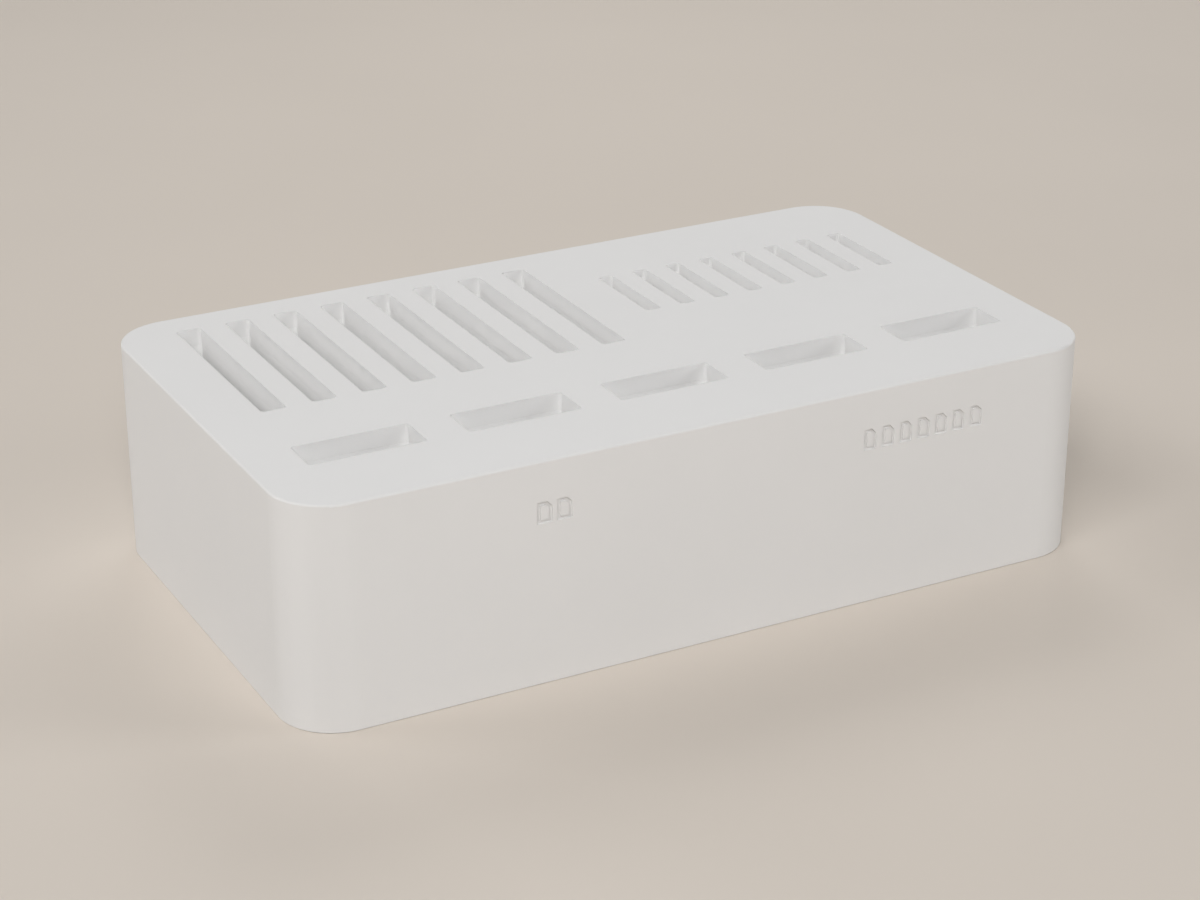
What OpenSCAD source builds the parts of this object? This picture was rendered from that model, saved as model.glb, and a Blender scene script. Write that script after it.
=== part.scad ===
// Desk case for memory cards and data sticks: a moulded housing over three soft trays,
// closed from below by a weighted base plate that stands on four rubber feet.
// Millimetres, +Z up, front at -Y. The origin is the middle of the footprint, on the floor.

/* [Case] */
// Length of the case, from left to right
case_w = 95; // [80:1:130]
// Depth of the case, from front to back
case_d = 54; // [48:0.5:80]
// Height of the case, from the floor to its top face
case_h = 25; // [21:0.5:40]
// Radius of the four upright corners
corner_r = 6.25; // [5:0.25:8]
// Radius of the edge round the top face
edge_r = 0.25; // [0.1:0.05:0.8]
// Thickness of the side walls
wall = 2; // [1.6:0.1:2.4]
// Thickness of the slotted top
top_t = 2; // [1.6:0.1:3]
// Radius of the slots' upright corners
slot_r = 0.4; // [0.2:0.05:0.6]
// Distance between the large card slots and the small ones
group_gap = 6.4; // [5:0.1:8]
// Share that the large card slots take of the length that both groups fill
large_share = 0.5645; // [0.54:0.001:0.6]

/* [Large card slots] */
// Number of large card slots
large_count = 8; // [1:1:9]
// Width of a large card slot, across the card
large_wid = 2.8; // [2.4:0.1:3.4]
// Length of a large card slot, along the card
large_len = 25.3; // [22.8:0.1:28]
// Distance from the left side of the case to the first large card slot
large_side = 6.75; // [6:0.05:8]

/* [Small card slots] */
// Number of small card slots
small_count = 8; // [1:1:10]
// Width of a small card slot, across the card
small_wid = 1.8; // [1.4:0.1:2.2]
// Length of a small card slot, along the card
small_len = 11.8; // [10:0.1:13]
// Depth of a small card pocket, from the top face
small_deep = 9.5; // [8:0.5:12]
// Distance from the right side of the case to the last small card slot
small_side = 6.2; // [5:0.05:8]

/* [Stick slots] */
// Number of stick slots
stick_count = 5; // [1:1:6]
// Length of a stick slot, from left to right
stick_len = 12.9; // [12:0.1:14.2]
// Width of a stick slot, from front to back
stick_wid = 4.95; // [4.5:0.05:5.5]
// Distance from the sides of the case to the first and last stick slot
stick_side = 5.95; // [5:0.05:8]

/* [Front marks] */
// Number of card outlines under the large card slots
large_marks = 2; // [1:1:6]
// Number of card outlines under the small card slots
small_marks = 7; // [1:1:8]
// Width of an outline under the large card slots
large_mark_w = 1.7; // [1.4:0.1:1.9]
// Width of an outline under the small card slots
small_mark_w = 1.5; // [1.2:0.1:1.9]
// Height of an outline
mark_h = 2.35; // [2:0.05:3]
// Distance from one outline to the next
mark_pitch = 2.25; // [2.1:0.05:3]
// Width of an outline's groove
mark_stroke = 0.36; // [0.25:0.01:0.45]
// Size of an outline's clipped corner
mark_clip = 0.6; // [0.4:0.05:0.8]
// Depth of the groove in the front wall
mark_depth = 0.2; // [0.1:0.05:0.6]
// Distance from the top face down to the outlines
mark_down = 4.5; // [3:0.05:8]

/* [Trays] */
// Thickness of a tray's outer walls
tray_wall = 1.2; // [0.8:0.1:1.3]
// Thickness of a tray's floor
tray_floor = 1.2; // [0.8:0.1:1.4]
// Width of the ears that the tray screws go through
ear_d = 5.6; // [5:0.1:5.8]
// Thickness of the ears
ear_t = 1.6; // [1.2:0.1:2.4]
// Distance from a tray's face to the screw in an ear
ear_out = 3.5; // [3.2:0.1:3.8]
// Distance from the underside of the top down to the ears
ear_drop = 5; // [4.5:0.25:6]
// Distance from each end of the stick tray to its front screws
stick_ear_in = 16.4; // [10:0.1:25]
// Distance from the small card tray's front screw to the stick tray's back screws, each way
stick_ear_apart = 9; // [7:0.1:10]
// Thickness of the ledges that the tongues of the large card tray rest on
ledge_t = 0.8; // [0.6:0.1:1.2]
// Distance that a ledge reaches in from the left wall
ledge_reach = 2.2; // [1.8:0.1:2.5]
// Width of a tongue and its ledge, from front to back
tongue_w = 6; // [4:0.5:9]
// Distance from the middle of the large card tray to each tongue, front and back
tongue_y = 7.5; // [5:0.5:9]

/* [Tray screws] */
// Thread diameter of a tray screw
tray_screw_d = 2; // [1.8:0.1:2.2]
// Length of a tray screw under its head
tray_screw_len = 5; // [4:0.25:5.5]
// Diameter of a tray screw's head
tray_head_d = 3.8; // [3.4:0.1:4.2]
// Height of a tray screw's head
tray_head_h = 1.3; // [1:0.1:1.6]
// Diameter of the bosses that take the tray screws
tray_boss_d = 5; // [4.5:0.1:5.4]

/* [Base plate] */
// Thickness of the base plate
base_t = 1.8; // [1.6:0.1:2]
// Distance that the base plate sits up inside the rim
base_recess = 0.35; // [0.2:0.05:0.5]
// Width of the rebate in the rim that takes the base plate
rebate = 1; // [0.8:0.1:1.2]
// Distance from the middle of the case to each rear hook
hook_x = 28; // [15:1:32]
// Width of a hook, from left to right
hook_w = 8; // [5:0.5:12]
// Thickness of a hook's tongue
hook_t = 1.2; // [1:0.1:1.4]
// Height of a hook above the base plate
hook_h = 2.7; // [2.4:0.1:3.1]
// Height of the lug on a hook
lug_h = 1.1; // [0.8:0.1:1.2]
// Distance that a lug reaches into the back wall
lug_reach = 0.6; // [0.4:0.05:0.8]

/* [Base screws] */
// Thread diameter of a base screw
base_screw_d = 2.6; // [2.2:0.1:2.8]
// Length of a base screw under its head
base_screw_len = 8; // [6:0.5:12]
// Diameter of a base screw's head
base_head_d = 4.4; // [4:0.1:4.6]
// Height of a base screw's head
base_head_h = 1.6; // [1.2:0.1:1.8]
// Distance from the case's side to a base screw
base_screw_in_x = 6.5; // [5.9:0.1:7.2]
// Diameter of the bosses that take the base screws
base_boss_d = 5.2; // [4.8:0.1:5.6]
// Wall of the well round a base screw's head
well_wall = 0.7; // [0.6:0.05:0.8]
// Floor of the well that a base screw's head pulls on
well_floor = 1.2; // [1:0.1:1.6]
// Distance from the plate's underside to a base screw's head
head_sink = 0.6; // [0.3:0.1:0.8]

/* [Ballast plate] */
// Distance from the sides of the case to the ballast plate
ballast_in_x = 11.5; // [10.5:0.5:16]
// Distance from the front and back of the case to the ballast plate
ballast_in_y = 7; // [6:0.5:10]
// Thickness of the ballast plate
ballast_t = 2; // [1.5:0.1:3]
// Radius of the ballast plate's corners
ballast_r = 3; // [1:0.5:5]
// Distance from the ends of the ballast plate to the stakes
stake_in_x = 6; // [4:0.5:12]
// Distance from the front and back of the ballast plate to the stakes
stake_in_y = 7; // [4:0.5:9]
// Diameter of a stake that holds the ballast plate
stake_d = 3; // [2.4:0.1:3.4]
// Diameter of a stake's melted head
stake_head_d = 4.8; // [4.4:0.1:5.4]
// Height of a stake's melted head
stake_head_h = 0.8; // [0.6:0.1:1]

/* [Feet] */
// Diameter of a foot
foot_d = 8; // [6:0.5:9]
// Thickness of a foot
foot_t = 1.25; // [1:0.05:1.4]
// Height of the rim above the floor
foot_proud = 0.05; // [0.05:0.05:0.4]
// Size of the bevel round a foot's underside
foot_bevel = 0.2; // [0.1:0.05:0.4]
// Distance from the case's sides to the middle of a foot
foot_in_x = 14.5; // [14:0.5:20]
// Distance from the case's front and back to the middle of a foot
foot_in_y = 9; // [8:0.5:12]

/* [Clearances] */
// Gap between the large card tray and the back wall
back_gap = 0.95; // [0.5:0.05:1.5]
// Gap between the trays' ears, tongues and neighbours
tray_gap = 0.4; // [0.3:0.05:0.5]
// Height of the two deep trays above the ballast plate
tray_lift = 1.6; // [1.2:0.1:2]
// Gap between the base plate and the rim, all round
rim_gap = 0.15; // [0.05:0.05:0.3]
// Gap round a screw's shank or a stake, on each side
hole_gap = 0.2; // [0.1:0.05:0.3]
// Gap between a screw's thread and its boss, on each side
thread_gap = 0.05; // [0.02:0.01:0.1]
// Gap round a base screw's head, on each side
head_gap = 0.3; // [0.2:0.05:0.4]
// Gap round a hook, and between a tongue and its ledge
hook_gap = 0.1; // [0.05:0.05:0.2]
// Gap round a foot in its recess, on each side
foot_gap = 0.15; // [0.05:0.05:0.3]

/* [Hidden] */
$fn = 64;
// Overlap that makes a cut run clean through a face
cut = 1;
// Share of a screw's diameter that is left inside its thread
core_share = 0.76;
// Share of a screw's diameter that one turn of its thread takes
thread_share = 0.4;

// Heights above the floor
rim_z = foot_proud;
base_z = rim_z + base_recess;
seat_z = base_z + base_t;
ballast_top = seat_z + ballast_t;
ceiling_z = case_h - top_t;
ear_top = ceiling_z - ear_drop;
ear_z = ear_top - ear_t;
head_top = base_z + head_sink + base_head_h;
well_top = head_top + well_floor;

// Heights inside the top and the base plate where bosses, hooks and stakes take root
top_root = ceiling_z + top_t / 2;
base_root = base_z + base_t / 2;

// Inner faces of the walls
in_x = case_w / 2 - wall;
in_y = case_d / 2 - wall;
in_r = corner_r - wall;

// Stretches that the groups of slots fill, and the middles of the groups
groups_w = case_w - large_side - group_gap - small_side;
large_span = large_share * groups_w;
small_span = groups_w - large_span;
stick_span = case_w - 2 * stick_side;
large_x = large_side + large_span / 2 - case_w / 2;
small_x = case_w / 2 - small_side - small_span / 2;
card_y = in_y - back_gap - tray_wall - large_len / 2;
stick_y = tray_gap + ear_d / 2 + ear_out + tray_wall + stick_wid / 2 - in_y;

// The deep pockets end at their trays' floors, just above the ballast plate
deep = case_h - ballast_top - tray_lift - tray_floor;

// Each group of slots: middle x and y, count, stretch, size in x and y, and depth
LARGE = [large_x, card_y, large_count, large_span, large_wid, large_len, deep];
SMALL = [small_x, card_y, small_count, small_span, small_wid, small_len, small_deep];
STICK = [0, stick_y, stick_count, stick_span, stick_len, stick_wid, deep];

function pitch(g) = (g[3] - g[4]) / max(g[2] - 1, 1);
function slot_xs(g) = [for (i = [0 : g[2] - 1]) g[0] + (i - (g[2] - 1) / 2) * pitch(g)];
function block_w(g) = g[3] + 2 * tray_wall;
function block_d(g) = g[5] + 2 * tray_wall;
function front_of(g) = g[1] - block_d(g) / 2;
function back_of(g) = g[1] + block_d(g) / 2;
function right_of(g) = g[0] + block_w(g) / 2;

// Ears of each tray: x, y and the direction from the screw to the tray, in degrees
ear_clear = ear_d / 2 + tray_gap;
large_ears = [
    [right_of(LARGE) + ear_out, front_of(SMALL) - ear_clear, 180],
    [right_of(LARGE) + ear_out, back_of(SMALL) + ear_clear, 180]
];
small_ears = [
    [small_x, front_of(SMALL) - ear_out, 90],
    [small_x, back_of(SMALL) + ear_out, 270]
];
stick_ear_x = right_of(STICK) - stick_ear_in;
stick_ears = [
    [-stick_ear_x, front_of(STICK) - ear_out, 90],
    [stick_ear_x, front_of(STICK) - ear_out, 90],
    [small_x - stick_ear_apart, back_of(STICK) + ear_out, 270],
    [small_x + stick_ear_apart, back_of(STICK) + ear_out, 270]
];
tray_screw_spots = concat(large_ears, small_ears, stick_ears);
tongue_ys = [card_y - tongue_y, card_y + tongue_y];

// Base screws, ballast plate, stakes and feet
base_screw_x = case_w / 2 - base_screw_in_x;
base_screw_y = front_of(STICK) - tray_gap - base_boss_d / 2;
base_screw_spots = [for (side = [-1, 1]) [side * base_screw_x, base_screw_y]];
ballast_w = case_w - 2 * ballast_in_x;
ballast_d = case_d - 2 * ballast_in_y;
stake_x = ballast_w / 2 - stake_in_x;
stake_y = ballast_d / 2 - stake_in_y;
stake_spots = [for (x = [-1, 1], y = [-1, 1]) [x * stake_x, y * stake_y]];
foot_x = case_w / 2 - foot_in_x;
foot_y = case_d / 2 - foot_in_y;
foot_spots = [for (x = [-1, 1], y = [-1, 1]) [x * foot_x, y * foot_y]];

// Well round each base screw's head
well_bore_d = base_head_d + 2 * head_gap;
well_d = well_bore_d + 2 * well_wall;

// Lug on each rear hook
lug_z = seat_z + hook_h - lug_h;
lug_bevel = lug_h / 2;

module at(spots) {
    for (spot = spots)
        translate([spot[0], spot[1], 0])
            children();
}

module rounded_rect(w, d, r) {
    square([w - 2 * r, d], center = true);
    square([w, d - 2 * r], center = true);
    for (x = [-1, 1], y = [-1, 1])
        translate([x * (w / 2 - r), y * (d / 2 - r)])
            circle(r);
}

module rounded_block(w, d, h, r) {
    linear_extrude(h)
        rounded_rect(w, d, r);
}

// Section of the top edge: flat above, round outside
module edge_section() {
    square([corner_r - edge_r, edge_r]);
    translate([corner_r - edge_r, 0])
        intersection() {
            circle(edge_r);
            square(edge_r);
        }
}

// Straight stretch of the top edge, towards +X
module edge_bar(reach, length) {
    translate([reach - corner_r, length / 2, 0])
        rotate([90, 0, 0])
            linear_extrude(length)
                edge_section();
}

// Topmost slice of the housing, with its edge rounded
module top_slice() {
    flat_w = case_w - 2 * corner_r;
    flat_d = case_d - 2 * corner_r;
    linear_extrude(edge_r)
        square([flat_w, flat_d], center = true);
    for (turn = [0, 180])
        rotate(turn) {
            edge_bar(case_w / 2, flat_d);
            rotate(90)
                edge_bar(case_d / 2, flat_w);
            translate([flat_w / 2, flat_d / 2, 0])
                rotate_extrude(angle = 90)
                    edge_section();
            translate([-flat_w / 2, flat_d / 2, 0])
                rotate(90)
                    rotate_extrude(angle = 90)
                        edge_section();
        }
}

// Solid outer form of the housing
module housing_form() {
    translate([0, 0, rim_z])
        rounded_block(case_w, case_d, case_h - edge_r - rim_z, corner_r);
    translate([0, 0, case_h - edge_r])
        top_slice();
}

// Hollow under the slotted top, and the rebate that the base plate sits in
module housing_hollow() {
    translate([0, 0, rim_z - cut])
        rounded_block(2 * in_x, 2 * in_y, ceiling_z - rim_z + cut, in_r);
    translate([0, 0, rim_z - cut])
        rounded_block(
            case_w - 2 * rebate,
            case_d - 2 * rebate,
            seat_z - rim_z + cut,
            corner_r - rebate
        );
}

module slot_cuts(g, z, h) {
    for (x = slot_xs(g))
        translate([x, g[1], z])
            rounded_block(g[4], g[5], h, slot_r);
}

// Outline of a card with one clipped corner, drawn in the plane of the front face
module card_mark(w) {
    s = mark_stroke;
    c = mark_clip;
    inner_c = c + s * (sqrt(2) - 2);
    difference() {
        polygon([[0, 0], [w, 0], [w, mark_h - c], [w - c, mark_h], [0, mark_h]]);
        polygon([
            [s, s],
            [w - s, s],
            [w - s, mark_h - s - inner_c],
            [w - s - inner_c, mark_h - s],
            [s, mark_h - s]
        ]);
    }
}

module mark_row(middle_x, count, w) {
    for (i = [0 : count - 1])
        translate([
            middle_x + (i - (count - 1) / 2) * mark_pitch - w / 2,
            mark_depth - case_d / 2,
            case_h - mark_down - mark_h
        ])
            rotate([90, 0, 0])
                linear_extrude(mark_depth + cut)
                    card_mark(w);
}

// Ledge on the left wall, sloping back to the wall below
module ledge() {
    wall_end = -in_x - wall / 2;
    ledge_end = ledge_reach - in_x;
    ledge_top = ear_z - hook_gap;
    translate([0, tongue_w / 2, 0])
        rotate([90, 0, 0])
            linear_extrude(tongue_w)
                polygon([
                    [wall_end, ledge_top],
                    [ledge_end, ledge_top],
                    [ledge_end, ledge_top - ledge_t],
                    [-in_x, ledge_top - ledge_t - ledge_reach],
                    [wall_end, ledge_top - ledge_t - ledge_reach]
                ]);
}

// Bosses, webs and ledges inside the housing
module housing_bosses() {
    at(tray_screw_spots)
        translate([0, 0, ear_top])
            cylinder(d = tray_boss_d, h = top_root - ear_top);
    for (y = tongue_ys)
        translate([0, y, 0])
            ledge();
    at(base_screw_spots)
        translate([0, 0, well_top])
            cylinder(d = base_boss_d, h = top_root - well_top);
    for (side = [-1, 1])
        base_boss_webs(side);
}

// Two webs that tie a base screw's boss to the walls of its corner
module base_boss_webs(side) {
    web_t = base_boss_d / 4;
    web_z = well_top + base_boss_d / 2;
    web_h = top_root - web_z;
    reach_x = case_w / 2 - wall / 2 - base_screw_x;
    reach_y = case_d / 2 - wall / 2 + base_screw_y;
    translate([side * (base_screw_x + reach_x / 2), base_screw_y, web_z + web_h / 2])
        cube([reach_x, web_t, web_h], center = true);
    translate([side * base_screw_x, base_screw_y - reach_y / 2, web_z + web_h / 2])
        cube([web_t, reach_y, web_h], center = true);
}

// Pilot holes that the screws' threads fill
module housing_pilots() {
    at(tray_screw_spots)
        translate([0, 0, ear_top - cut])
            cylinder(d = tray_screw_d + 2 * thread_gap, h = tray_screw_len - ear_t + cut + hole_gap);
    at(base_screw_spots)
        translate([0, 0, well_top - cut])
            cylinder(d = base_screw_d + 2 * thread_gap, h = base_screw_len - well_floor + cut + hole_gap);
}

// Recesses in the back wall that the lugs hook into
module hook_recesses() {
    for (side = [-1, 1])
        translate([
            side * hook_x - hook_w / 2 - 2 * hook_gap,
            in_y - cut,
            lug_z - hook_gap
        ])
            cube([hook_w + 4 * hook_gap, lug_reach + hook_gap + cut, lug_h + 2 * hook_gap]);
}

module housing() {
    color("whitesmoke")
        difference() {
            union() {
                difference() {
                    housing_form();
                    housing_hollow();
                }
                housing_bosses();
            }
            for (g = [LARGE, SMALL, STICK])
                slot_cuts(g, ceiling_z - cut, top_t + 2 * cut);
            mark_row(large_x, large_marks, large_mark_w);
            mark_row(small_x, small_marks, small_mark_w);
            housing_pilots();
            hook_recesses();
        }
}

// Ear with its screw hole, reaching from the screw to the tray
module ear(spot) {
    translate([spot[0], spot[1], ear_z])
        difference() {
            union() {
                cylinder(d = ear_d, h = ear_t);
                rotate(spot[2])
                    translate([0, -ear_d / 2, 0])
                        cube([ear_out + tray_wall / 2, ear_d, ear_t]);
            }
            translate([0, 0, -cut])
                cylinder(d = tray_screw_d + 2 * hole_gap, h = ear_t + 2 * cut);
        }
}

// Block of pockets for one group of slots, hung under the top by its ears
module tray(g, ears) {
    bottom = case_h - g[6] - tray_floor;
    difference() {
        translate([g[0], g[1], (bottom + ceiling_z) / 2])
            cube([block_w(g), block_d(g), ceiling_z - bottom], center = true);
        slot_cuts(g, case_h - g[6], g[6]);
    }
    for (spot = ears)
        ear(spot);
}

// Tongue on the left of the large card tray, over its ledge
module tongue() {
    tip = tray_gap - in_x;
    root = large_x - block_w(LARGE) / 2 + tray_wall / 2;
    translate([tip, -tongue_w / 2, ear_z])
        cube([root - tip, tongue_w, ear_t]);
}

module large_card_tray() {
    color("white") {
        tray(LARGE, large_ears);
        for (y = tongue_ys)
            translate([0, y, 0])
                tongue();
    }
}

module small_card_tray() {
    color("white")
        tray(SMALL, small_ears);
}

module stick_tray() {
    color("white")
        tray(STICK, stick_ears);
}

// Half section of a screw's threaded shank, from its root inside the head upwards
function thread_section(d, length, root) =
    let (
        step = d * thread_share,
        core = d * core_share / 2,
        turns = floor((length - d) / step),
        start = length - d - turns * step
    )
    concat(
        [[0, -root], [core, -root]],
        [for (i = [0 : turns - 1], half = [0, 1])
            [half == 0 ? core : d / 2, start + (i + half / 2) * step]],
        [[core, length - d], [0, length]]
    );

// Pan-head screw with a cross recess, its thread pointing up and its head below z = 0
module screw(d, length, head_d, head_h) {
    recess_w = head_d / 2;
    recess_t = head_d / 7;
    recess_h = head_h * 0.6;
    round_r = head_h / 2;
    difference() {
        union() {
            rotate_extrude()
                polygon(thread_section(d, length, head_h / 4));
            translate([0, 0, -head_h])
                rotate_extrude() {
                    square([head_d / 2 - round_r, head_h]);
                    translate([0, round_r])
                        square([head_d / 2, head_h - round_r]);
                    translate([head_d / 2 - round_r, round_r])
                        intersection() {
                            circle(round_r);
                            translate([0, -round_r])
                                square(round_r);
                        }
                }
        }
        for (turn = [0, 90])
            rotate(turn)
                translate([0, 0, recess_h / 2 - head_h])
                    cube([recess_w, recess_t, recess_h], center = true);
    }
}

module tray_screws() {
    color("silver")
        at(tray_screw_spots)
            translate([0, 0, ear_z])
                screw(tray_screw_d, tray_screw_len, tray_head_d, tray_head_h);
}

module base_screws() {
    color("silver")
        at(base_screw_spots)
            translate([0, 0, head_top])
                screw(base_screw_d, base_screw_len, base_head_d, base_head_h);
}

module ballast_plate() {
    color("lightslategray")
        translate([0, 0, seat_z])
            difference() {
                rounded_block(ballast_w, ballast_d, ballast_t, ballast_r);
                at(stake_spots)
                    translate([0, 0, -cut])
                        cylinder(d = stake_d + 2 * hole_gap, h = ballast_t + 2 * cut);
            }
}

// Tongue and lug that hold the back of the base plate, seen from the side
module hook() {
    tongue_back = in_y - hook_gap;
    translate([hook_w / 2, 0, 0])
        rotate([90, 0, -90])
            linear_extrude(hook_w)
                polygon([
                    [hook_t - tongue_back, base_root],
                    [hook_t - tongue_back, seat_z + hook_h],
                    [-tongue_back, seat_z + hook_h],
                    [-in_y - lug_reach, lug_z + lug_bevel],
                    [-in_y - lug_reach, lug_z],
                    [-tongue_back, lug_z],
                    [-tongue_back, base_root]
                ]);
}

module stakes() {
    at(stake_spots) {
        translate([0, 0, base_root])
            cylinder(d = stake_d, h = ballast_top + stake_head_h - base_root);
        translate([0, 0, ballast_top])
            cylinder(d1 = stake_head_d, d2 = stake_d, h = stake_head_h);
    }
}

module base_plate() {
    plate_w = case_w - 2 * (rebate + rim_gap);
    plate_d = case_d - 2 * (rebate + rim_gap);
    color("whitesmoke")
        difference() {
            union() {
                translate([0, 0, base_z])
                    rounded_block(plate_w, plate_d, base_t, corner_r - rebate - rim_gap);
                at(base_screw_spots)
                    translate([0, 0, base_z])
                        cylinder(d = well_d, h = well_top - base_z);
                for (side = [-1, 1])
                    translate([side * hook_x, 0, 0])
                        hook();
                stakes();
            }
            at(base_screw_spots) {
                translate([0, 0, base_z - cut])
                    cylinder(d = well_bore_d, h = head_top - base_z + cut);
                translate([0, 0, base_z])
                    cylinder(d = base_screw_d + 2 * hole_gap, h = well_top);
            }
            at(foot_spots)
                translate([0, 0, base_z - cut])
                    cylinder(d = foot_d + 2 * foot_gap, h = foot_t - base_z + cut);
        }
}

module foot(x, y) {
    color("dimgray")
        translate([x * foot_x, y * foot_y, 0]) {
            cylinder(d1 = foot_d - 2 * foot_bevel, d2 = foot_d, h = foot_bevel);
            translate([0, 0, foot_bevel])
                cylinder(d = foot_d, h = foot_t - foot_bevel);
        }
}

module foot_front_left() {
    foot(-1, -1);
}

module foot_front_right() {
    foot(1, -1);
}

module foot_back_left() {
    foot(-1, 1);
}

module foot_back_right() {
    foot(1, 1);
}

housing();
large_card_tray();
small_card_tray();
stick_tray();
tray_screws();
ballast_plate();
base_plate();
base_screws();
foot_front_left();
foot_front_right();
foot_back_left();
foot_back_right();
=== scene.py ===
"""Looks of a desk case for memory cards and data sticks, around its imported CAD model. Metres."""
import math

import bpy
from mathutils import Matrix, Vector


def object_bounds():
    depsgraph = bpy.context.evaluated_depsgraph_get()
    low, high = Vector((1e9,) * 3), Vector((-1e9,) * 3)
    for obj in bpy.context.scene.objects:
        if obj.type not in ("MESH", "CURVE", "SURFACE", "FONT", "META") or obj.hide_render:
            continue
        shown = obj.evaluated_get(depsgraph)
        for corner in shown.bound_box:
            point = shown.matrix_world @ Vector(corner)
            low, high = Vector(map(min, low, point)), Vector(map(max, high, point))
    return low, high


MM = 0.001
MIDDLE = Vector((0.0, 0.0, 0.0))

# Camera: what it looks at on the floor, where it stands from there, and its lens
CAMERA_TARGET = Vector((11.9, 22.3, 0.0)) * MM
CAMERA_AZIMUTH = -28.0
CAMERA_ELEVATION = 24.0
CAMERA_DISTANCE = 340.0 * MM
CAMERA_LENS = 83.7
SENSOR_WIDTH = 36.0
NEAREST_SEEN = 10.0 * MM

# Colours, linear
CASE_WHITE = (0.798, 0.792, 0.785)
TRAY_WHITE = (0.815, 0.810, 0.803)
BASE_WHITE = (0.760, 0.753, 0.743)
ZINC = (0.62, 0.62, 0.60)
STEEL = (0.55, 0.56, 0.57)
RUBBER_GREY = (0.160, 0.160, 0.165)
FLOOR_BEIGE = (0.700, 0.637, 0.570)

# White plastics: colour, roughness, shine, cloudiness of the shade, size and height of the grain
PLASTICS = {
    "case_plastic": (CASE_WHITE, 0.72, 0.30, 0.006, 0.16 * MM, 0.004 * MM),
    "tray_elastomer": (TRAY_WHITE, 0.78, 0.30, 0.006, 0.12 * MM, 0.003 * MM),
    "base_plastic": (BASE_WHITE, 0.62, 0.40, 0.015, 0.45 * MM, 0.035 * MM),
}
CLOUD_SIZE = 14 * MM
PATCH_SIZE = 1.6 * MM
PATCH_CHANGE = 0.05
MOULDED_EDGE = 0.06 * MM

# Painted light in the slots: how much whiter the plastic is painted there, to lighten their shade
PAINTED_SLOT_LIGHT = 1.10
SLOT_REACH = 8 * MM
# How far from an edge hands rub it and painted shade darkens it, how dark that painted shade is,
# and how rough the rubbing leaves it
WORN_AND_SHADED_WIDTH = 0.6 * MM
PAINTED_EDGE_SHADE = 0.95
RUBBED_ROUGHNESS = 0.88
# Depths behind the front face where the marks have ended and where all of the slots lie
FRONT_LAYER = (0.4 * MM, 1.0 * MM)
# Depths under the top where the painted edge shade begins and where it is at its darkest
TOP_LAYER = (1.5 * MM, 1.0 * MM)

# Plated steels: colour, roughness, and how the drawn marks are squeezed along X, Y and Z
STEELS = {
    "ballast_steel": (STEEL, 0.38, (0.08, 1.0, 1.0)),
    "screw_steel": (ZINC, 0.30, (1.0, 1.0, 0.3)),
}
STEEL_SHADES = (0.86, 1.0, 1.08)
STEEL_CLOUD_SIZE = 1.5 * MM
DRAWN_SIZE = 0.35 * MM
DRAWN_CHANGE = 0.1
DRAWN_DEPTH = 0.006 * MM
STEEL_EDGE = 0.05 * MM

# Rubber of the feet
RUBBER_SHADES = (0.88, 1.0, 1.3)
SPECK_SIZE = 0.25 * MM
DULL_PATCH_SIZE = 0.8 * MM
RUBBER_ROUGHNESS = (0.72, 0.86)
RUBBER_GRAIN = 0.35 * MM
RUBBER_RELIEF = 0.02 * MM
RUBBER_EDGE = 0.1 * MM

# The material of each CAD node
NODE_MATERIALS = {
    "housing": "case_plastic",
    "large_card_tray": "tray_elastomer",
    "small_card_tray": "tray_elastomer",
    "stick_tray": "tray_elastomer",
    "tray_screws": "screw_steel",
    "ballast_plate": "ballast_steel",
    "base_plate": "base_plastic",
    "base_screws": "screw_steel",
    "foot_front_left": "foot_rubber",
    "foot_front_right": "foot_rubber",
    "foot_back_left": "foot_rubber",
    "foot_back_right": "foot_rubber",
}

# Ranges that a shader's values are stretched from: noise, specks, flatness and openness of a face
NOISE_RANGE = (0.3, 0.7)
SPECK_RANGE = (0.25, 0.85)
FLAT_RANGE = (0.7, 1.0)
OPEN_RANGE = (0.8, 0.97)
EDGE_SAMPLES = 4
OPEN_SAMPLES = 6

# Floor, and the stretch from the case over which it turns into the plain backdrop
FLOOR_SIZE = 6.0
FLOOR_CLOUD_SIZE = 60 * MM
FLOOR_SHADES = (0.99, 1.01)
FLOOR_ROUGHNESS = 0.9
FLOOR_SHINE = 0.1
FLOOR_FADE = (0.25, 0.36)
BACKDROP_SHADE = 0.84

# Lamps, soft squares aimed at the case: azimuth, elevation, distance, side of the square, power
LAMPS = {
    "key": (-30, 38, 0.8, 0.30, 2.9),
    "left": (-60, 50, 0.8, 0.30, 1.5),
    "right": (60, 20, 0.8, 0.30, 1.6),
    "behind_right": (120, 20, 0.8, 0.30, 0.8),
    "behind_left": (-120, 35, 0.8, 0.30, 1.1),
    "low_behind_left": (-150, 20, 0.8, 0.30, 0.7),
    "near_behind": (150, 45, 0.4, 0.15, 0.28),
}


def tone(colour, factor):
    """A colour made lighter or darker by a factor, as a shader socket takes it."""
    return tuple(c * factor for c in colour) + (1.0,)


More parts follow.
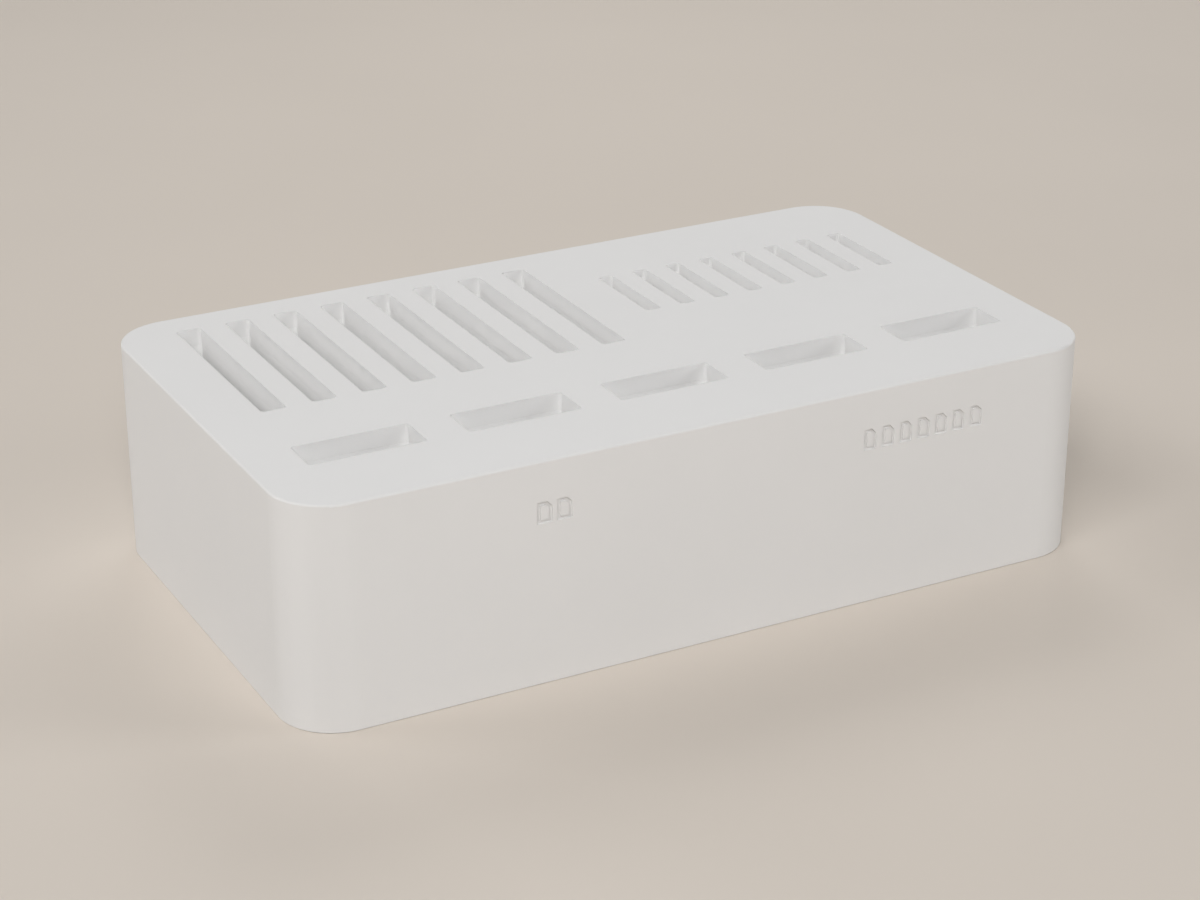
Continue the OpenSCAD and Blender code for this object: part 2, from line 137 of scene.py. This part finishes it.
class Surface:
    """One procedural material: a principled shader and the textures that drive it."""

    def __init__(self, name, metallic=0.0):
        self.material = bpy.data.materials.new(name)
        self.material.use_nodes = True
        self.nodes = self.material.node_tree.nodes
        self.links = self.material.node_tree.links
        self.shader = self.nodes["Principled BSDF"]
        self.shader.inputs["Metallic"].default_value = metallic
        self.place = self.nodes.new("ShaderNodeTexCoord").outputs["Object"]
        self.normal = None

    def link(self, output, socket):
        self.links.new(output, socket)

    def colour(self, output):
        self.link(output, self.shader.inputs["Base Color"])

    def roughness(self, output):
        self.link(output, self.shader.inputs["Roughness"])

    def noise(self, size, detail=2.0, stretch=(1.0, 1.0, 1.0)):
        """Noise whose lumps are about as large as size, in metres."""
        mapping = self.nodes.new("ShaderNodeMapping")
        mapping.inputs["Scale"].default_value = stretch
        self.link(self.place, mapping.inputs["Vector"])
        noise = self.nodes.new("ShaderNodeTexNoise")
        noise.inputs["Scale"].default_value = 1.0 / size
        noise.inputs["Detail"].default_value = detail
        self.link(mapping.outputs["Vector"], noise.inputs["Vector"])
        return noise.outputs["Fac"]

    def cells(self, size):
        """Distance to the nearest of many points spread about size apart, in metres."""
        cells = self.nodes.new("ShaderNodeTexVoronoi")
        cells.inputs["Scale"].default_value = 1.0 / size
        self.link(self.place, cells.inputs["Vector"])
        return cells.outputs["Distance"]

    def spread(self, value, low, high, limits=NOISE_RANGE):
        """A value stretched from its limits to low and high, numbers or other nodes' outputs."""
        node = self.nodes.new("ShaderNodeMapRange")
        node.inputs["From Min"].default_value = limits[0]
        node.inputs["From Max"].default_value = limits[1]
        for end, socket in ((low, "To Min"), (high, "To Max")):
            if isinstance(end, float):
                node.inputs[socket].default_value = end
            else:
                self.link(end, node.inputs[socket])
        self.link(value, node.inputs["Value"])
        return node.outputs["Result"]

    def ramp(self, value, colour, shades, limits=NOISE_RANGE):
        """A texture's value turned into shades of a colour that blend into one another."""
        ramp = self.nodes.new("ShaderNodeValToRGB")
        steps = ramp.color_ramp.elements
        while len(steps) < len(shades):
            steps.new(0.5)
        low, high = limits
        for i, shade in enumerate(shades):
            steps[i].position = low + (high - low) * i / (len(shades) - 1)
            steps[i].color = tone(colour, shade)
        self.link(value, ramp.inputs["Fac"])
        return ramp.outputs["Color"]

    def product(self, first, second):
        """Two values multiplied."""
        node = self.nodes.new("ShaderNodeMath")
        node.operation = "MULTIPLY"
        self.link(first, node.inputs[0])
        self.link(second, node.inputs[1])
        return node.outputs["Value"]

    def scaled(self, colour, factor):
        """A colour multiplied by a value."""
        node = self.nodes.new("ShaderNodeVectorMath")
        node.operation = "SCALE"
        self.link(colour, node.inputs[0])
        self.link(factor, node.inputs["Scale"])
        return node.outputs["Vector"]

    def point(self):
        """The point that is shaded, in metres from the middle of the case on the floor."""
        return self.nodes.new("ShaderNodeNewGeometry").outputs["Position"]

    def along(self, axis):
        """Where the point is along X, Y or Z."""
        parts = self.nodes.new("ShaderNodeSeparateXYZ")
        self.link(self.point(), parts.inputs["Vector"])
        return parts.outputs[axis]

    def distance(self):
        """How far the point is from the middle of the case."""
        length = self.nodes.new("ShaderNodeVectorMath")
        length.operation = "LENGTH"
        self.link(self.point(), length.inputs[0])
        return length.outputs["Value"]

    def behind_front(self, low, high):
        """Low on the front face and in its shallow marks, high behind it, where the slots are."""
        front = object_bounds()[0][1]
        limits = [front + depth for depth in FRONT_LAYER]
        return self.spread(self.along("Y"), low, high, limits)

    def at_top(self, low, high):
        """High in the uppermost millimetre, low below it."""
        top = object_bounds()[1][2]
        limits = [top - depth for depth in TOP_LAYER]
        return self.spread(self.along("Z"), low, high, limits)

    def openness(self, reach):
        """1 on outer faces, less in slots and grooves narrower than this, where the painted light
        whitens the plastic.
        """
        node = self.nodes.new("ShaderNodeAmbientOcclusion")
        node.samples = OPEN_SAMPLES
        node.only_local = True
        node.inputs["Distance"].default_value = reach
        return node.outputs["AO"]

    def bevel(self, radius):
        """The normal, as if edges were rounded by this radius."""
        bevel = self.nodes.new("ShaderNodeBevel")
        bevel.samples = EDGE_SAMPLES
        bevel.inputs["Radius"].default_value = radius
        return bevel.outputs["Normal"]

    def flatness(self, width):
        """1 on flat faces, less within this width of an edge, where hands rub the surface and where
        painted shade darkens the top edges.
        """
        geometry = self.nodes.new("ShaderNodeNewGeometry")
        dot = self.nodes.new("ShaderNodeVectorMath")
        dot.operation = "DOT_PRODUCT"
        self.link(self.bevel(width), dot.inputs[0])
        self.link(geometry.outputs["True Normal"], dot.inputs[1])
        return dot.outputs["Value"]

    def soft_edges(self, radius):
        """Sharp edges shade as if they had this small radius. Comes before any relief."""
        self.normal = self.bevel(radius)
        self.link(self.normal, self.shader.inputs["Normal"])

    def bump(self, value, depth):
        """Relief of this depth, in metres, on top of the soft edges."""
        bump = self.nodes.new("ShaderNodeBump")
        bump.inputs["Strength"].default_value = 1.0
        bump.inputs["Distance"].default_value = depth
        self.link(value, bump.inputs["Height"])
        self.link(self.normal, bump.inputs["Normal"])
        self.normal = bump.outputs["Normal"]
        self.link(self.normal, self.shader.inputs["Normal"])


def moulded_white(name, colour, roughness, shine, cloudiness, grain, relief):
    """Fine matt moulded plastic: a barely cloudy white with an etched grain, painted lighter in the
    slots, and with edges that use has smoothed and that painted shade darkens at the top."""
    skin = Surface(name)
    skin.shader.inputs["Specular IOR Level"].default_value = shine
    cloud = skin.noise(CLOUD_SIZE, detail=3.0)
    white = skin.ramp(cloud, colour, (1.0 - cloudiness, 1.0, 1.0 + cloudiness))
    flat = skin.flatness(WORN_AND_SHADED_WIDTH)
    # Painted shade: near the top, edges are painted darker than the flat faces
    painted_edge_shade = skin.spread(flat, skin.at_top(1.0, PAINTED_EDGE_SHADE), 1.0, FLAT_RANGE)
    # Painted light: behind the front face, slots and grooves are painted whiter to lighten their
    # shade
    painted_slot_light = skin.behind_front(1.0, PAINTED_SLOT_LIGHT)
    painted_light_and_shade = skin.spread(skin.openness(SLOT_REACH), painted_slot_light, painted_edge_shade, OPEN_RANGE)
    skin.colour(skin.scaled(white, painted_light_and_shade))
    patchy = skin.spread(skin.noise(PATCH_SIZE), roughness - PATCH_CHANGE, roughness + PATCH_CHANGE)
    smoothed = skin.spread(flat, RUBBED_ROUGHNESS, 1.0, FLAT_RANGE)
    skin.roughness(skin.product(patchy, smoothed))
    skin.soft_edges(MOULDED_EDGE)
    skin.bump(skin.noise(grain), relief)
    return skin.material


def plated_steel(name, colour, roughness, stretch):
    """Zinc-plated steel: drawn marks one way, and cloudy changes of shade."""
    skin = Surface(name, metallic=1.0)
    cloud = skin.noise(STEEL_CLOUD_SIZE, detail=3.0)
    skin.colour(skin.ramp(cloud, colour, STEEL_SHADES))
    drawn = skin.noise(DRAWN_SIZE, detail=4.0, stretch=stretch)
    skin.roughness(skin.spread(drawn, roughness - DRAWN_CHANGE, roughness + DRAWN_CHANGE))
    skin.soft_edges(STEEL_EDGE)
    skin.bump(drawn, DRAWN_DEPTH)
    return skin.material


def foot_rubber(name):
    """Dark grey rubber: fine dull grain with a few paler specks of dust."""
    skin = Surface(name)
    skin.colour(skin.ramp(skin.noise(SPECK_SIZE), RUBBER_GREY, RUBBER_SHADES, SPECK_RANGE))
    skin.roughness(skin.spread(skin.noise(DULL_PATCH_SIZE), *RUBBER_ROUGHNESS))
    skin.soft_edges(RUBBER_EDGE)
    skin.bump(skin.cells(RUBBER_GRAIN), RUBBER_RELIEF)
    return skin.material


def seen_directly(nodes, links):
    """1 for rays of the eye, gloss and glass, 0 for those that carry light."""
    path = nodes.new("ShaderNodeLightPath")
    share = path.outputs["Is Camera Ray"]
    for ray in ("Is Glossy Ray", "Is Transmission Ray"):
        either = nodes.new("ShaderNodeMath")
        either.operation = "MAXIMUM"
        links.new(share, either.inputs[0])
        links.new(path.outputs[ray], either.inputs[1])
        share = either.outputs["Value"]
    return share


def floor_paint(name):
    """Plain beige floor, barely uneven. Far from the case it is seen as an even backdrop."""
    skin = Surface(name)
    skin.colour(skin.ramp(skin.noise(FLOOR_CLOUD_SIZE), FLOOR_BEIGE, FLOOR_SHADES))
    skin.shader.inputs["Roughness"].default_value = FLOOR_ROUGHNESS
    skin.shader.inputs["Specular IOR Level"].default_value = FLOOR_SHINE
    far = skin.spread(skin.distance(), 0.0, 1.0, FLOOR_FADE)
    even = skin.nodes.new("ShaderNodeEmission")
    even.inputs["Color"].default_value = tone(FLOOR_BEIGE, BACKDROP_SHADE)
    even.inputs["Strength"].default_value = 1.0
    mix = skin.nodes.new("ShaderNodeMixShader")
    skin.link(skin.product(far, seen_directly(skin.nodes, skin.links)), mix.inputs["Fac"])
    skin.link(skin.shader.outputs["BSDF"], mix.inputs[1])
    skin.link(even.outputs["Emission"], mix.inputs[2])
    skin.link(mix.outputs["Shader"], skin.nodes["Material Output"].inputs["Surface"])
    return skin.material


def dress(frame):
    """Gives each CAD node its material."""
    materials = {name: moulded_white(name, *look) for name, look in PLASTICS.items()}
    for name, look in STEELS.items():
        materials[name] = plated_steel(name, *look)
    materials["foot_rubber"] = foot_rubber("foot_rubber")
    for node, name in NODE_MATERIALS.items():
        slots = frame["nodes"][node].data.materials
        slots.clear()
        slots.append(materials[name])


def direction(azimuth, elevation):
    """Unit vector from the middle towards an azimuth and elevation in degrees, 0 at the front."""
    a = math.radians(azimuth)
    e = math.radians(elevation)
    return Vector((math.sin(a) * math.cos(e), -math.cos(a) * math.cos(e), math.sin(e)))


def aim(thing, target):
    """Turns a camera or lamp to look at a point."""
    thing.rotation_euler = (target - thing.location).to_track_quat("-Z", "Y").to_euler()


def make_camera():
    """The camera, at the photograph's viewing angle."""
    camera = bpy.data.objects.new("camera", bpy.data.cameras.new("camera"))
    camera.data.lens = CAMERA_LENS
    camera.data.sensor_width = SENSOR_WIDTH
    camera.data.clip_start = NEAREST_SEEN
    away = direction(CAMERA_AZIMUTH, CAMERA_ELEVATION)
    camera.location = CAMERA_TARGET + CAMERA_DISTANCE * away
    aim(camera, CAMERA_TARGET)
    bpy.context.scene.collection.objects.link(camera)
    bpy.context.scene.camera = camera


def make_floor():
    """The square floor that the case stands on."""
    half = FLOOR_SIZE / 2
    mesh = bpy.data.meshes.new("floor")
    corners = [(-half, -half, 0), (half, -half, 0), (half, half, 0), (-half, half, 0)]
    mesh.from_pydata(corners, [], [(0, 1, 2, 3)])
    mesh.materials.append(floor_paint("floor_paint"))
    floor = bpy.data.objects.new("floor", mesh)
    bpy.context.scene.collection.objects.link(floor)


def make_world():
    """No light from all round: all of it comes from the lamps. Past the floor is the backdrop."""
    world = bpy.data.worlds.new("world")
    world.use_nodes = True
    nodes = world.node_tree.nodes
    links = world.node_tree.links
    dark = nodes["Background"]
    dark.inputs["Strength"].default_value = 0.0
    seen = nodes.new("ShaderNodeBackground")
    seen.inputs["Color"].default_value = tone(FLOOR_BEIGE, BACKDROP_SHADE)
    seen.inputs["Strength"].default_value = 1.0
    mix = nodes.new("ShaderNodeMixShader")
    links.new(seen_directly(nodes, links), mix.inputs["Fac"])
    links.new(dark.outputs["Background"], mix.inputs[1])
    links.new(seen.outputs["Background"], mix.inputs[2])
    links.new(mix.outputs["Shader"], nodes["World Output"].inputs["Surface"])
    bpy.context.scene.world = world


def make_lamps():
    """The lamps, out of the camera's sight."""
    for name, (azimuth, elevation, distance, size, power) in LAMPS.items():
        data = bpy.data.lights.new(name, "AREA")
        data.shape = "SQUARE"
        data.size = size
        data.energy = power
        lamp = bpy.data.objects.new(name, data)
        lamp.location = distance * direction(azimuth, elevation)
        aim(lamp, MIDDLE)
        lamp.visible_camera = False
        bpy.context.scene.collection.objects.link(lamp)


def set_view():
    """Plain colours on the screen, with no film look."""
    bpy.context.scene.view_settings.view_transform = "Standard"


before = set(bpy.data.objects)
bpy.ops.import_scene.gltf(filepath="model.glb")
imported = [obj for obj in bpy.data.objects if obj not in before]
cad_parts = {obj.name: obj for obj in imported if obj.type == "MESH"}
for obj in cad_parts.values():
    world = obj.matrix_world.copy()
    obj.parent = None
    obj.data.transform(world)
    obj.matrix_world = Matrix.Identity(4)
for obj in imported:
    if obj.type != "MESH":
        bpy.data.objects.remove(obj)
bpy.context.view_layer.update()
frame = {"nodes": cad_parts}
dress(frame)
make_camera()
make_floor()
make_world()
make_lamps()
set_view()
